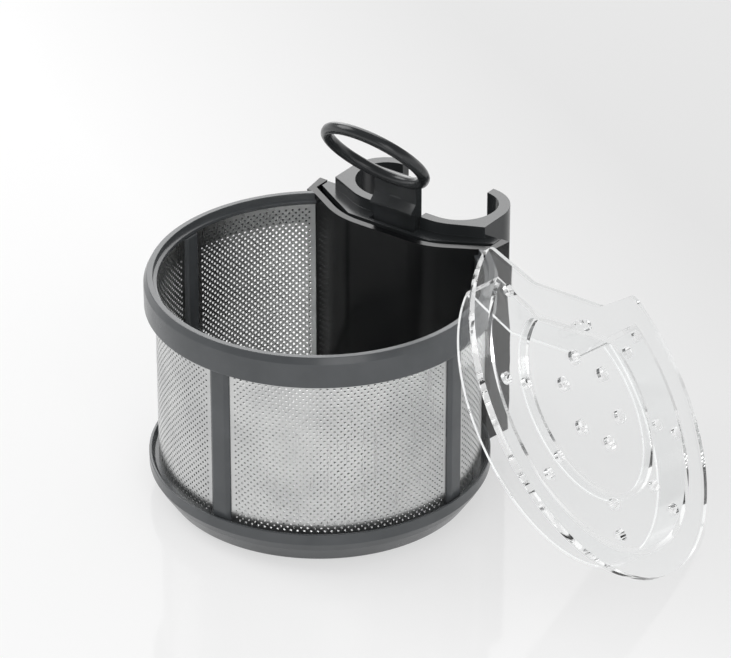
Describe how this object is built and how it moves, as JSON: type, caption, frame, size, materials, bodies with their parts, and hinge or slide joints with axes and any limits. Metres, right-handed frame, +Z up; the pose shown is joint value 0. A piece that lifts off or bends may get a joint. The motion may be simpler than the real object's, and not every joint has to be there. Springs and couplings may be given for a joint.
{
  "type": "tea basket with post clip and lid",
  "caption": "Perforated steel tea basket in a dark plastic frame with a C-shaped rear post clip, a finger-ring latch and a clear drip lid leaning beside it",
  "frame": {"origin": "middle of the basket's foot, on the surface that it stands on, at the axis of the round basket", "axes": "+Z up along the basket's axis, +Y towards the post clip at the back, +X towards the leaning lid"},
  "size_m": [0.1577, 0.1166, 0.103],
  "materials": {
    "frame_plastic": "satin anthracite moulded plastic",
    "wall_plastic": "near-black moulded plastic",
    "clip_plastic": "satin dark grey moulded plastic",
    "sheet_steel": "fine perforated stainless steel sheet",
    "screw_steel": "plain steel",
    "magnet_plating": "nickel-plated magnet",
    "lid_clear": "clear polished plastic"
  },
  "bodies": {
    "basket": {"rim_band": "frame_plastic", "front_rib": "frame_plastic", "left_rib": "frame_plastic", "right_rib": "frame_plastic", "gutter_flange": "frame_plastic", "foot_ring": "frame_plastic", "rear_housing": "wall_plastic", "rear_cover": "frame_plastic", "post_clip": "clip_plastic", "magnet_tray": "wall_plastic", "lift_magnets": "magnet_plating", "cover_screws": "screw_steel", "latch_pin": "screw_steel", "latch_spring": "screw_steel", "mesh_front_left": "sheet_steel", "mesh_front_right": "sheet_steel", "mesh_rear_left": "sheet_steel", "mesh_rear_right": "sheet_steel", "floor_sheet": "sheet_steel"},
    "latch": {"latch_plate": "clip_plastic", "finger_ring": "clip_plastic"},
    "lid": {"lid_plate": "lid_clear", "lid_skirt": "lid_clear", "lid_well": "lid_clear", "lid_tab": "lid_clear"}
  },
  "joints": [
    {"name": "ring_latch", "type": "hinge", "parent": "basket", "child": "latch", "pos_m": [0, 0.0383, 0.0598], "axis": [1, 0, 0], "range_deg": [0, 12], "stiffness_Nm_per_rad": 0.02, "springref_deg": -14.32},
    {"name": "lid_lift", "type": "slide", "parent": "basket", "child": "lid", "axis": [0, 0, 1], "range_m": [0, 0.08]}
  ]
}
